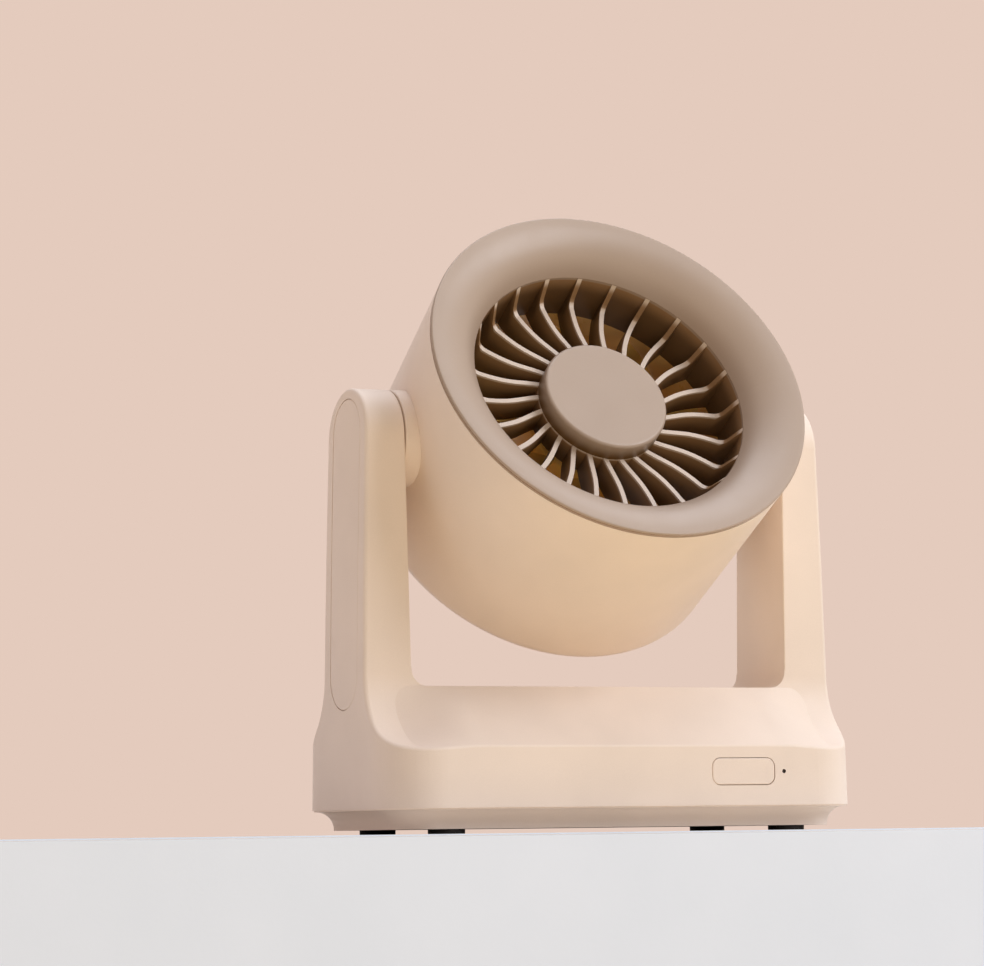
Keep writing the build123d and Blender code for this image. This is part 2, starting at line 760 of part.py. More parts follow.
with BuildPart() as air_duct:
    # Straight throat around the impeller, widening to the rear grille, with its screw posts.
    with BuildSketch(head_section):
        with BuildLine():
            mouth = ThreePointArc((throat_radius, -24), (throat_radius + 1.3, -31), (55.6, duct_back))
            throat_outside = throat_radius + 1.6
            Polyline(mouth @ 0, (throat_radius, fin_back), (throat_outside, fin_back), (throat_outside, -24))
            outer_middle = (throat_outside + 1.3, -30.6)
            outer_mouth = ThreePointArc((throat_outside, -24), outer_middle, (57.4, duct_back))
            Line(mouth @ 1, outer_mouth @ 1)
        make_face()
    revolve(axis=head_axis)
    with BuildSketch(head_plane.offset(duct_back)):
        with PolarLocations(rear_screw_ring, 3, start_angle=90):
            Circle(2.6)
    extrude(amount=9)
    with BuildSketch(head_plane.offset(duct_back)):
        with PolarLocations(rear_screw_ring, 3, start_angle=90):
            Circle(rear_screw_radius + 0.05)
        Circle(throat_radius, mode=Mode.SUBTRACT)
    extrude(amount=8, mode=Mode.SUBTRACT)
    with BuildSketch(head_section):
        Polygon((0, -24), (throat_radius, -24), (throat_radius, fin_back), (0, fin_back), align=None)
    revolve(axis=head_axis, mode=Mode.SUBTRACT)
write(air_duct, "air_duct")

# ==================== Front grille and hub cap ====================

# Outline of one fin, seen along the head's axis: it leaves the hub leaning back, then runs
# straight out to the lip.
with BuildSketch() as fin_outline:
    with BuildLine():
        Spline(*[polar(radius, fin_first + lead) for radius, lead in fin_swirl])
    trace(line_width=fin_thickness)

with BuildPart() as front_grille:
    with BuildSketch(head_plane.offset(fin_back)):
        with PolarLocations(0, fin_count):
            add(fin_outline.sketch)
    extrude(amount=lip_front - fin_back)
    # Front edges: flat across the fins, then a bend that climbs the throat to the lip.
    with BuildSketch(head_section) as fin_section:
        Polygon(
            (0, fin_back),
            (ring_outer, fin_back),
            (ring_outer, ring_front),
            (lip_radius - 0.1, ring_front),
            (lip_radius - 0.1, lip_front - 0.2),
            (fin_bend_radius, fin_front),
            (0, fin_front),
            align=None,
        )
        fillet(fin_section.vertices().sort_by_distance((fin_bend_radius, fin_front, 0))[0], fin_bend)
    revolve(axis=head_axis, mode=Mode.INTERSECT)
    # Outer ring behind the bezel's lip, hub ring and the plate that closes it.
    with BuildSketch(head_plane.offset(fin_back)):
        Circle(ring_outer)
        Circle(lip_radius + 0.1, mode=Mode.SUBTRACT)
    extrude(amount=ring_front - fin_back)
    with BuildSketch(head_plane.offset(fin_back)):
        Circle(hub_radius - 0.2)
    extrude(amount=fin_front - fin_back)
    with BuildSketch(head_plane.offset(fin_front)):
        Circle(hub_radius - 0.2 - hub_wall)
    extrude(amount=hub_plate_back + hub_plate - fin_front, mode=Mode.SUBTRACT)
    with BuildSketch(head_plane.offset(fin_back)):
        Circle(hub_radius - 0.2 - hub_wall)
    extrude(amount=hub_plate_back - fin_back, mode=Mode.SUBTRACT)
write(front_grille, "front_grille")

with BuildPart() as hub_cap:
    with BuildSketch(head_plane.offset(fin_front + 0.05)):
        Circle(hub_radius)
    extrude(amount=hub_front - fin_front - 0.05)
    fillet(hub_cap.edges().sort_by(head_axis)[-1], hub_edge)
    with BuildSketch(head_plane.offset(fin_front - 4)):
        Circle(hub_radius - 0.35 - hub_wall)
    extrude(amount=6)
    with BuildSketch(head_plane.offset(fin_front - 4)):
        Circle(hub_radius - 1.8 - hub_wall)
    extrude(amount=hub_front - fin_front + 2, mode=Mode.SUBTRACT)
write(hub_cap, "hub_cap")

# ==================== Rear grille ====================

with BuildPart() as rear_grille:
    # Rim, two slim rings and radial ribs around the plate that carries the motor.
    with BuildSketch(head_plane.offset(grille_back)):
        Circle(rear_opening - 0.3)
        Circle(rear_rim_inner, mode=Mode.SUBTRACT)
        for radius in rear_rings:
            with BuildSketch(mode=Mode.ADD):
                Circle(radius + 0.7)
                Circle(radius - 0.7, mode=Mode.SUBTRACT)
        with PolarLocations((motor_plate_radius + rear_rim_inner) / 2, rear_rib_count):
            Rectangle(rear_rim_inner - motor_plate_radius + 2, 1.4)
        Circle(motor_plate_radius)
    extrude(amount=duct_back - grille_back)
    # Seats and holes for the rear screws and the motor screws.
    with BuildSketch(head_plane.offset(grille_back)):
        with PolarLocations(rear_screw_ring, 3, start_angle=90):
            Circle(1.9)
    extrude(amount=1.3, mode=Mode.SUBTRACT)
    with BuildSketch(head_plane.offset(grille_back)):
        with PolarLocations(rear_screw_ring, 3, start_angle=90):
            Circle(rear_screw_radius + 0.15)
    extrude(amount=10, mode=Mode.SUBTRACT)
write(rear_grille, "rear_grille")

with BuildPart() as rear_screws:
    with BuildSketch(head_plane.offset(grille_back + 0.2)):
        with PolarLocations(rear_screw_ring, 3, start_angle=90):
            Circle(1.75)
    extrude(amount=1.1)
    with BuildSketch(head_plane.offset(grille_back + 0.6)):
        with PolarLocations(rear_screw_ring, 3, start_angle=90):
            Circle(rear_screw_radius)
    extrude(amount=9)
write(rear_screws, "rear_screws")

# ==================== Motor ====================

with BuildPart() as motor_mount:
    # Foot on the rear grille's plate, and the tube that holds both bearings and the stator.
    with BuildSketch(head_plane.offset(duct_back)):
        Circle(motor_plate_radius - 1)
    extrude(amount=1.6)
    with BuildSketch(head_plane.offset(duct_back)):
        Circle(tube_radius)
    extrude(amount=front_bearing + bearing_width - duct_back)
    with BuildSketch(head_plane.offset(rear_bearing)):
        Circle(bearing_radius)
    extrude(amount=40, mode=Mode.SUBTRACT)
write(motor_mount, "motor_mount")

with BuildPart() as motor_bearings:
    for place in (rear_bearing, front_bearing):
        with BuildSketch(head_plane.offset(place)):
            Circle(bearing_radius)
            Circle(shaft_radius + 0.03, mode=Mode.SUBTRACT)
        extrude(amount=bearing_width)
write(motor_bearings, "motor_bearings")

with BuildPart() as motor_stator:
    # Steel core with poles, and the coil around each pole.
    with BuildSketch(head_plane.offset(stator_back)):
        Circle(tube_radius + 3)
        Circle(tube_radius, mode=Mode.SUBTRACT)
        with PolarLocations(tube_radius + 5, pole_count):
            Rectangle(7, 3)
        with BuildSketch(mode=Mode.ADD):
            Circle(stator_radius)
            Circle(stator_radius - 1.6, mode=Mode.SUBTRACT)
            with PolarLocations(stator_radius, pole_count, start_angle=180 / pole_count):
                Rectangle(6, 1.6, mode=Mode.SUBTRACT)
    extrude(amount=stator_length)
    with BuildSketch(head_plane.offset(stator_back - 1.5)):
        with PolarLocations(tube_radius + 5, pole_count):
            RectangleRounded(3.6, 5.6, 1)
    extrude(amount=stator_length + 3)
write(motor_stator, "motor_stator")

with BuildPart() as motor_board:
    with BuildSketch(head_plane.offset(duct_back + 1.8)):
        Circle(stator_radius - 0.5)
        Circle(tube_radius + 0.05, mode=Mode.SUBTRACT)
    extrude(amount=1.2)
write(motor_board, "motor_board")

with BuildPart() as rotor_can:
    with BuildSketch(head_plane.offset(can_back)):
        Circle(can_radius)
    extrude(amount=can_front - can_back)
    with BuildSketch(head_plane.offset(can_back)):
        Circle(can_radius - 1)
    extrude(amount=can_front - can_back - 1.2, mode=Mode.SUBTRACT)
    with BuildSketch(head_plane.offset(can_back)):
        Circle(shaft_radius)
    extrude(amount=can_front - can_back, mode=Mode.SUBTRACT)
write(rotor_can, "rotor_can")

with BuildPart() as rotor_magnet:
    with BuildSketch(head_plane.offset(stator_back - 1)):
        Circle(can_radius - 1)
        Circle(stator_radius + 0.35, mode=Mode.SUBTRACT)
    extrude(amount=stator_length + 2)
write(rotor_magnet, "rotor_magnet")

with BuildPart() as motor_shaft:
    with BuildSketch(head_plane.offset(rear_bearing + 0.4)):
        Circle(shaft_radius)
    extrude(amount=impeller_front - 3 - rear_bearing)
write(motor_shaft, "motor_shaft")

# ==================== Impeller ====================

# Each blade section is given as radius, width of the blade, lean from the spin plane in
# degrees and depth of its hollow.
blade_sections = (
    (impeller_hub - 1.5, 26.0, 52.0, 3.0),
    (36.0, 31.5, 42.0, 2.6),
    (blade_tip + 3, 36.0, 35.0, 2.2),
)


def blade_plane(angle, radius):
    """Plane across a blade: X along the way it turns, Y towards the front of the head."""
    outward = head_plane.x_dir * cos(radians(angle)) + head_plane.y_dir * sin(radians(angle))
    around = head_plane.z_dir.cross(outward)
    centre = pivot + forward * blade_middle + outward * radius
    return Plane(origin=centre, x_dir=around, z_dir=around.cross(forward))


with BuildPart() as impeller:
    for blade in range(blade_count):
        for radius, width, lean_angle, hollow in blade_sections:
            tip_point = polar(width / 2, lean_angle)
            middle = polar(hollow, lean_angle + 90)
            with BuildSketch(blade_plane(blade * 360 / blade_count, radius)):
                with BuildLine():
                    ThreePointArc((-tip_point[0], -tip_point[1]), middle, tip_point)
                trace(line_width=blade_thickness)
        loft()
    # Trim the tips, then add the hub that covers the motor.
    with BuildSketch(head_section):
        Polygon((0, -30), (blade_tip, -30), (blade_tip, 20), (0, 20), align=None)
    revolve(axis=head_axis, mode=Mode.INTERSECT)
    with BuildSketch(head_section) as hub_section:
        Polygon(
            (shaft_radius, can_front),
            (can_radius + 0.05, can_front),
            (can_radius + 0.05, impeller_back),
            (impeller_hub, impeller_back),
            (impeller_hub, impeller_front),
            (0, impeller_front),
            (0, impeller_front - 2.5),
            (shaft_radius, impeller_front - 2.5),
            align=None,
        )
        fillet(hub_section.vertices().sort_by_distance((impeller_hub, impeller_front, 0))[0], 2.5)
    revolve(axis=head_axis)
    with BuildSketch(head_section):
        Polygon(
            (0, can_back + 1),
            (can_radius + 0.05, can_back + 1),
            (can_radius + 0.05, can_front),
            (0, can_front),
            align=None,
        )
    revolve(axis=head_axis, mode=Mode.SUBTRACT)
write(impeller, "impeller")
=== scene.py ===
import json
import math

import bmesh
import bpy
from mathutils import Matrix, Vector


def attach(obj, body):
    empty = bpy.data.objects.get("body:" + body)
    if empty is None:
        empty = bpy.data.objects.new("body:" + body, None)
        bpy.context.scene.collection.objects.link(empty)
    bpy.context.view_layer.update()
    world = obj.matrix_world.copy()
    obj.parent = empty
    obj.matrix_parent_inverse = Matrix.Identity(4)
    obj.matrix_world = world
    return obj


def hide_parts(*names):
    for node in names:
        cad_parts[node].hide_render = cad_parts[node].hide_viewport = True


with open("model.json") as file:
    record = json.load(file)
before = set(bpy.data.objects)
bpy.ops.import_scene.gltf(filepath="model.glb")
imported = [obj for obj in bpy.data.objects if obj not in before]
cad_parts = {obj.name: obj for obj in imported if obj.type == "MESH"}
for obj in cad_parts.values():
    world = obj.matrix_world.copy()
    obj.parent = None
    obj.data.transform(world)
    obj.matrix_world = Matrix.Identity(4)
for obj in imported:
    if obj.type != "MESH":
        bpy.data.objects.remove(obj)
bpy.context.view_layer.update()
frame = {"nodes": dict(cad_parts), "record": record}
nodes = frame["nodes"]

# Every length is in metres, apart from the camera's sensor and lens, which are in millimetres.
# The head's axis and the point that it tilts about:
tilt = math.radians(31.75)
head_axis = Vector((0, -math.cos(tilt), math.sin(tilt)))
pivot = Vector((0, 0, 0.1385))


def link(new_object):
    bpy.context.scene.collection.objects.link(new_object)
    return new_object


# ---- Camera, at the place and angle that were fitted to the photograph's outlines ----
azimuth = math.radians(25.17)
pitch = math.radians(5.29)
roll = math.radians(-0.752)
camera_place = Vector((-0.6106, -1.2279, -0.00166))
view = Vector((
    math.sin(azimuth) * math.cos(pitch),
    math.cos(azimuth) * math.cos(pitch),
    math.sin(pitch),
))
level_right = Vector((math.cos(azimuth), -math.sin(azimuth), 0))
level_up = level_right.cross(view)
rolled_right = level_right * math.cos(roll) + level_up * math.sin(roll)
rolled_up = level_up * math.cos(roll) - level_right * math.sin(roll)
camera_data = bpy.data.cameras.new("camera")
camera_data.sensor_width = 36
camera_data.lens = 140.4
camera_data.clip_start = 0.01
camera_data.clip_end = 20
camera = link(bpy.data.objects.new("camera", camera_data))
camera.matrix_world = Matrix.Translation(camera_place) @ Matrix(
    (rolled_right, rolled_up, -view)
).transposed().to_4x4()
bpy.context.scene.camera = camera
bpy.context.scene.view_settings.view_transform = "Standard"


# ---- Colours and node trees ----
def srgb(red, green, blue):
    """A colour given as 0 to 255 screen values, in linear light."""
    def channel(value):
        value /= 255
        return value / 12.92 if value <= 0.04045 else ((value + 0.055) / 1.055) ** 2.4
    return (channel(red), channel(green), channel(blue), 1)


def shade(color, factor):
    """A colour made darker or lighter by a factor."""
    return tuple(min(1, channel * factor) for channel in color[:3]) + (1,)


# Most of a noise's values lie between these two.
noise_low, noise_high = 0.3, 0.7


class Tree:
    """A node tree, with short calls for the nodes that the finishes and the room share."""

    def __init__(self, tree, coordinates):
        self.tree = tree
        self.place = self.add("TexCoord").outputs[coordinates]

    def add(self, kind, **settings):
        node = self.tree.nodes.new("ShaderNode" + kind)
        for name, value in settings.items():
            setattr(node, name, value)
        return node

    def feed(self, socket, value):
        """Link an output to a socket, or set the socket to a constant."""
        if isinstance(value, bpy.types.NodeSocket):
            self.tree.links.new(value, socket)
        else:
            socket.default_value = value

    def feed_all(self, node, **values):
        """Feed a node's inputs by name, with _ for each space."""
        for name, value in values.items():
            self.feed(node.inputs[name.replace("_", " ")], value)

    def mix(self, factor, first, second, blend_type="MIX"):
        """Blend of two colours: the first at factor 0 and the second at factor 1."""
        node = self.add("Mix", data_type="RGBA", blend_type=blend_type)
        self.feed(node.inputs["Factor"], factor)
        inputs = [socket for socket in node.inputs if socket.type == "RGBA"]
        for socket, color in zip(inputs, (first, second)):
            self.feed(socket, color)
        return [socket for socket in node.outputs if socket.type == "RGBA"][0]

    def remap(self, value, low, high, out_low=0.0, out_high=1.0):
        """Smooth step of a value between two limits. It falls where low is above high."""
        node = self.add("MapRange", interpolation_type="SMOOTHSTEP")
        self.feed_all(node, Value=value, From_Min=low, From_Max=high)
        self.feed_all(node, To_Min=out_low, To_Max=out_high)
        return node.outputs["Result"]

    def calculate(self, operation, first, second=0):
        """Arithmetic on one number or two."""
        node = self.add("Math", operation=operation)
        for index, value in enumerate((first, second)):
            self.feed(node.inputs[index], value)
        return node.outputs["Value"]

    def vector(self, operation, first, second=None, output="Vector"):
        """Arithmetic on one vector or two. output is Value where it gives a number."""
        node = self.add("VectorMath", operation=operation)
        self.feed(node.inputs[0], first)
        if second is not None:
            self.feed(node.inputs[1], second)
        return node.outputs[output]

    def components(self, source=None):
        """X, Y and Z of the place, or of another vector."""
        node = self.add("SeparateXYZ")
        self.feed(node.inputs["Vector"], source or self.place)
        return node.outputs


class Finish(Tree):
    """A material's node tree. Its places are the object's own, so they move with the body."""

    def __init__(self, name):
        self.material = bpy.data.materials.new(name)
        self.material.use_nodes = True
        super().__init__(self.material.node_tree, "Object")

    def noise(self, scale, detail=3, roughness=0.55, stretch=None):
        """Noise of a scale in cycles per metre, times stretch along each axis."""
        node = self.add("TexNoise")
        self.feed_all(node, Scale=scale, Detail=detail, Roughness=roughness)
        place = self.place
        if stretch:
            mapping = self.add("Mapping")
            self.feed_all(mapping, Vector=self.place, Scale=stretch)
            place = mapping.outputs["Vector"]
        self.feed(node.inputs["Vector"], place)
        return node.outputs["Fac"]

    def ramp(self, value, low, high, color_low, color_high):
        """A colour between two, as a value runs from low to high."""
        node = self.add("ValToRGB")
        ends = zip(node.color_ramp.elements, (low, high), (color_low, color_high))
        for element, position, color in ends:
            element.position = position
            element.color = color
        self.feed(node.inputs["Fac"], value)
        return node.outputs["Color"]

    def spread(self, value, low, high):
        """Stretch a noise over a range of numbers."""
        node = self.add("MapRange")
        self.feed_all(node, Value=value, From_Min=noise_low, From_Max=noise_high)
        self.feed_all(node, To_Min=low, To_Max=high)
        return node.outputs["Result"]

    def beyond(self, value, limit, blend):
        """0 before a limit and 1 past it, with a short blend. A negative blend swaps the two."""
        return self.remap(value, limit - blend / 2, limit + blend / 2)

    def distance(self, value, middle):
        """How far a number is from a middle one."""
        return self.calculate("ABSOLUTE", self.calculate("SUBTRACT", value, middle))

    def stripes(self, value, period):
        """A wave between -1 and 1."""
        return self.calculate("SINE", self.calculate("MULTIPLY", value, 2 * math.pi / period))

    def bump(self, height, strength, distance):
        node = self.add("Bump")
        self.feed_all(node, Strength=strength, Distance=distance, Height=height)
        return node.outputs["Normal"]

    def along_head(self):
        """Distance in front of the pivot, measured along the head's axis."""
        along = self.vector("DOT_PRODUCT", self.place, head_axis, "Value")
        return self.calculate("SUBTRACT", along, pivot.dot(head_axis))

    def off_axis(self):
        """Distance from the head's axis."""
        from_pivot = self.vector("SUBTRACT", self.place, pivot)
        across = self.vector("CROSS_PRODUCT", from_pivot, head_axis)
        return self.vector("LENGTH", across, output="Value")

    def set(self, **values):
        """Feed the shader, and return the finished material."""
        self.feed_all(self.tree.nodes["Principled BSDF"], **values)
        return self.material


# ---- Finishes ----
def moulded(name, color, roughness, grain,
            grain_scale=2600, variation=0.03, specular=0.4, deep=None):
    """Moulded plastic: fine spark-eroded grain, faint flow clouds and uneven gloss.

    grain is the grain's depth. deep is a function that mixes the colour towards others in
    stated places, such as the parts on a board and painted shade inside openings.
    """
    cloud_scale, gloss_scale = 35, 90
    white = (1, 1, 1, 1)
    made = Finish(name)
    clouds = made.noise(cloud_scale, 2)
    speckle = made.noise(grain_scale, 2, 0.6)
    darker, lighter = shade(color, 1 - variation), shade(color, 1 + variation)
    tone = made.ramp(clouds, noise_low, noise_high, darker, lighter)
    if deep:
        tone = deep(made, tone)
    fleck = made.ramp(speckle, 0.35, 0.65, shade(white, 0.975), white)
    return made.set(
        Base_Color=made.mix(1, tone, fleck, "MULTIPLY"),
        Roughness=made.spread(made.noise(gloss_scale), roughness - 0.04, roughness + 0.05),
        Specular_IOR_Level=specular,
        Normal=made.bump(speckle, 0.35, grain),
    )


def metal(name, color, roughness, stretch=None, scale=900, bump=0.00001, deep=None):
    """Metal with drawn or turned marks, which are bump deep."""
    made = Finish(name)
    marks = made.noise(scale, 4, 0.6, stretch)
    tone = made.ramp(marks, noise_low, noise_high, shade(color, 0.85), color)
    if deep:
        tone = deep(made, tone)
    return made.set(
        Base_Color=tone,
        Metallic=1.0,
        Roughness=made.spread(marks, roughness - 0.08, roughness + 0.1),
        Normal=made.bump(marks, 0.3, bump),
    )


def fin_painted_shade(made, tone):
    """Fins and hub ring: pale front edges, and painted shade on the webs, which falls off to
    dark brown behind them.
    """
    inner_front, outer_climb = 0.022, 0.0104
    climb_start, climb_end = 0.0462, 0.0518
    edge_start, edge_end, web_end = 0.0003, 0.0013, 0.008
    climb = made.remap(made.off_axis(), climb_start, climb_end, 0.0, outer_climb)
    front_edge = made.calculate("ADD", climb, inner_front)
    depth = made.calculate("SUBTRACT", front_edge, made.along_head())
    fall_off = made.remap(depth, 0.0, web_end)
    painted_web_shade = made.ramp(fall_off, 0.0, 1.0, srgb(146, 113, 79), srgb(95, 70, 45))
    return made.mix(made.remap(depth, edge_start, edge_end), tone, painted_web_shade)


def cap_painted_shade(made, tone):
    """Hub cap: painted shade that darkens its side wall towards the fins."""
    face_edge, wall_end = 0.0284, 0.0225
    side = made.remap(made.along_head(), face_edge, wall_end)
    return made.mix(side, tone, srgb(104, 76, 44))


def funnel_painted_shade(made, tone):
    """Bezel: painted shade, a little deeper in tone towards the lip and dark in the neck behind
    the rim.
    """
    throat_start, lip_radius, share_at_lip = 0.0575, 0.0508, 0.5
    neck_radius, neck_front = 0.06975, 0.04185
    painted_lip_shade = made.remap(made.off_axis(), throat_start, lip_radius, 0.0, share_at_lip)
    toned = made.mix(painted_lip_shade, tone, srgb(140, 117, 98))
    outside = made.beyond(made.off_axis(), neck_radius, 0.0001)
    behind = made.beyond(made.along_head(), neck_front, -0.0003)
    painted_neck_shade = made.calculate("MULTIPLY", outside, behind)
    return made.mix(painted_neck_shade, toned, srgb(162, 134, 114))


def duct_painted_shade(made, tone):
    """Duct: painted shade, deeper in tone towards the back of the air way."""
    fall_start, fall_end = -0.005, -0.03
    behind = made.remap(made.along_head(), fall_start, fall_end)
    return made.mix(behind, tone, srgb(150, 118, 72))


def board_parts(made, tone):
    """Circuit board: copper runs under the green mask, and the parts that stand on its top."""
    board_top, sleeve_top, chip_front = 0.01754, 0.02315, 0.02175
    x, y, z = made.components()
    run_scale, run_share = 420, 0.6
    run_pattern = made.noise(run_scale, 1, 0.3, (1, 0.25, 1))
    runs = made.remap(run_pattern, 0.52, 0.54, 0.0, run_share)
    masked = made.mix(runs, tone, srgb(58, 128, 84))
    above_sleeve = made.beyond(z, sleeve_top, 0.0001)
    sleeves = made.mix(above_sleeve, srgb(42, 46, 70), srgb(198, 198, 200))
    right_side = made.mix(made.beyond(y, chip_front, 0.0005), sleeves, srgb(28, 28, 30))
    parts = made.mix(made.beyond(x, 0, 0.002), srgb(64, 62, 62), right_side)
    return made.mix(made.beyond(z, board_top, 0.00004), masked, parts)


def cell_ends(made, tone):
    """Cells: bare steel at both ends beyond the wrap, and a pale ring under it."""
    middle, wrap_end, ring_end = -0.0175, 0.03145, 0.03215
    from_middle = made.distance(made.components()["X"], middle)
    ring_tone = made.mix(made.beyond(from_middle, wrap_end, 0.0001), tone, srgb(232, 232, 226))
    past_ring = made.beyond(from_middle, ring_end, 0.0001)
    return made.mix(past_ring, ring_tone, srgb(190, 190, 192))


def socket_tongue(made, tone):
    """Charging socket: the black tongue with its gold contacts inside the steel shell."""
    tongue_height, tongue_half_width, tongue_half_thickness = 0.0192, 0.00333, 0.00039
    contacts_half_width, contact_pitch = 0.00285, 0.0005
    x, _, z = made.components()
    across = made.distance(x, 0)
    height = made.distance(z, tongue_height)
    inside = made.calculate(
        "MULTIPLY",
        made.beyond(across, tongue_half_width, -0.00002),
        made.beyond(height, tongue_half_thickness, -0.00002),
    )
    contact = made.calculate(
        "MULTIPLY",
        made.remap(made.stripes(x, contact_pitch), 0.1, 0.3),
        made.beyond(across, contacts_half_width, -0.0001),
    )
    return made.mix(inside, tone, made.mix(contact, srgb(22, 22, 24), srgb(212, 176, 104)))


def coil_ends(made, tone):
    """Motor core: copper wire where the coils stand out of the steel."""
    core_middle, core_half, wire_pitch = -0.0245, 0.00504, 0.0004
    from_middle = made.distance(made.along_head(), core_middle)
    turns = made.stripes(made.off_axis(), wire_pitch)
    wire = made.mix(made.remap(turns, -0.8, 0.6), srgb(120, 62, 34), srgb(202, 118, 66))
    return made.mix(made.beyond(from_middle, core_half, 0.00004), tone, wire)


cream = srgb(240, 223, 207)
taupe = srgb(175, 155, 137)

# Slot, colour, roughness, depth of the grain, and what differs from the usual plastic.
plastics = (
    ("cream_shell", cream, 0.52, 0.00003, {}),
    # The plate's cream is lightened past the shell's: painted light on its cove, which faces
    # down into shade.
    ("cream_plate", shade(cream, 1.06), 0.56, 0.00004, {}),
    ("cream_button", shade(cream, 1.01), 0.45, 0.00002, {}),
    ("cream_drum", shade(cream, 0.98), 0.5, 0.00003, {}),
    ("cream_hub", shade(cream, 0.98), 0.5, 0.00003, {}),
    ("cream_rear", shade(cream, 0.92), 0.55, 0.00004, {}),
    # The deep functions of the bezel, grille, cap and duct paint shade into their openings.
    ("taupe_bezel", taupe, 0.38, 0.00001, {"variation": 0.02, "deep": funnel_painted_shade}),
    ("taupe_grille", srgb(214, 196, 178), 0.42, 0.00002, {"deep": fin_painted_shade}),
    ("taupe_cap", taupe, 0.38, 0.00001, {"variation": 0.02, "deep": cap_painted_shade}),
    ("duct_plastic", srgb(226, 186, 122), 0.3, 0.00003, {"deep": duct_painted_shade}),
    ("impeller_plastic", srgb(255, 210, 118), 0.35, 0.00002, {}),
    ("black_rubber", srgb(34, 33, 32), 0.75, 0.00006,
     {"grain_scale": 1500, "variation": 0.15, "specular": 0.3}),
    ("white_plastic", srgb(228, 228, 224), 0.5, 0.00003, {}),
    ("black_plastic", srgb(38, 38, 38), 0.5, 0.00003, {}),
    ("lamp_plastic", srgb(28, 22, 20), 0.12, 0.0, {}),
    ("cell_wrap", srgb(72, 118, 176), 0.25, 0.00001, {"deep": cell_ends}),
    ("circuit_board", srgb(32, 92, 60), 0.35, 0.00002,
     {"grain_scale": 700, "deep": board_parts}),
    ("magnet", srgb(60, 60, 62), 0.6, 0.00005, {"grain_scale": 1800}),
)

# Slot, colour, roughness, and what differs from the usual metal.
metals = (
    ("steel", srgb(190, 190, 192), 0.35, {"stretch": (1, 1, 8)}),
    ("black_steel", srgb(58, 56, 54), 0.45, {}),
    ("steel_socket", srgb(196, 196, 198), 0.3, {"stretch": (1, 8, 1), "deep": socket_tongue}),
    ("motor_aluminium", srgb(200, 200, 202), 0.5, {"scale": 500, "bump": 0.00003}),
    ("motor_steel", srgb(150, 150, 152), 0.45, {"scale": 700}),
    ("wound_core", srgb(150, 150, 152), 0.45, {"scale": 700, "deep": coil_ends}),
)

materials = {}
for name, color, roughness, grain, others in plastics:
    materials[name] = moulded(name, color, roughness, grain, **others)
for name, color, roughness, others in metals:
    materials[name] = metal(name, color, roughness, **others)

# The one node whose finish isn't its slot's.
own_finish = {"motor_stator": "wound_core"}

for subpart in frame["record"]["subparts"]:
    mesh = nodes[subpart["node"]].data
    mesh.materials.clear()
    mesh.materials.append(materials[own_finish.get(subpart["node"], subpart["material_slot"])])
    for polygon in mesh.polygons:
        polygon.material_index = 0


# ---- Screws, with cross recesses in their heads and real threads ----
def ring(shape, centre, across, points):
    """Vertices on a plane through a centre, at points given along two directions."""
    return [shape.verts.new(centre + across[0] * x + across[1] * y) for x, y in points]


def closed_edges(shape, verts):
    pairs = [(verts[i], verts[(i + 1) % len(verts)]) for i in range(len(verts))]
    return [shape.edges.get(pair) or shape.edges.new(pair) for pair in pairs]


def skin(shape, first, second):
    """Wall of quads between two rings with the same count."""
    for i in range(len(first)):
        j = (i + 1) % len(first)
        shape.faces.new((first[i], first[j], second[j], second[i]))


def polar(radius, i, count):
    """Point i of count on a circle."""
    angle = 2 * math.pi * i / count
    return (radius * math.cos(angle), radius * math.sin(angle))


def cross(arm, half):
    """Outline of a plus sign, from its arms' length and half their width."""
    corners = []
    for quarter in range(4):
        c, s = math.cos(quarter * math.pi / 2), math.sin(quarter * math.pi / 2)
        for x, y in ((half, half), (half, arm), (-half, arm)):
            corners.append((x * c - y * s, x * s + y * c))
    return corners


def screw_head(shape, top, inward, across, sides, head_radius, head_depth, radius):
    """A softly edged pan head with a tapered cross recess. Returns the ring on its underside."""
    edge = 0.18 * head_depth
    # Radius and depth of each ring, from the flat top round the edge to the shank.
    profile = (
        (head_radius - 2.2 * edge, 0),
        (head_radius - 0.9 * edge, 0.25 * edge),
        (head_radius - 0.25 * edge, 0.8 * edge),
        (head_radius, 1.8 * edge),
        (head_radius, head_depth),
        (radius, head_depth),
    )
    rings = []
    for ring_radius, depth in profile:
        points = [polar(ring_radius, i, sides) for i in range(sides)]
        rings.append(ring(shape, top + inward * depth, across, points))
    for first, second in zip(rings, rings[1:]):
        skin(shape, first, second)

    arm, half = 0.56 * head_radius, 0.13 * head_radius
    recess_depth, arm_taper, half_taper = 0.6 * head_depth, 0.7, 0.8
    mouth = ring(shape, top, across, cross(arm, half))
    recess_floor = ring(
        shape, top + inward * recess_depth, across, cross(arm * arm_taper, half * half_taper))
    face_edges = closed_edges(shape, rings[0]) + closed_edges(shape, mouth)
    bmesh.ops.triangle_fill(shape, use_beauty=True, edges=face_edges)
    skin(shape, mouth, recess_floor)
    shape.faces.new(recess_floor)
    return rings[-1]


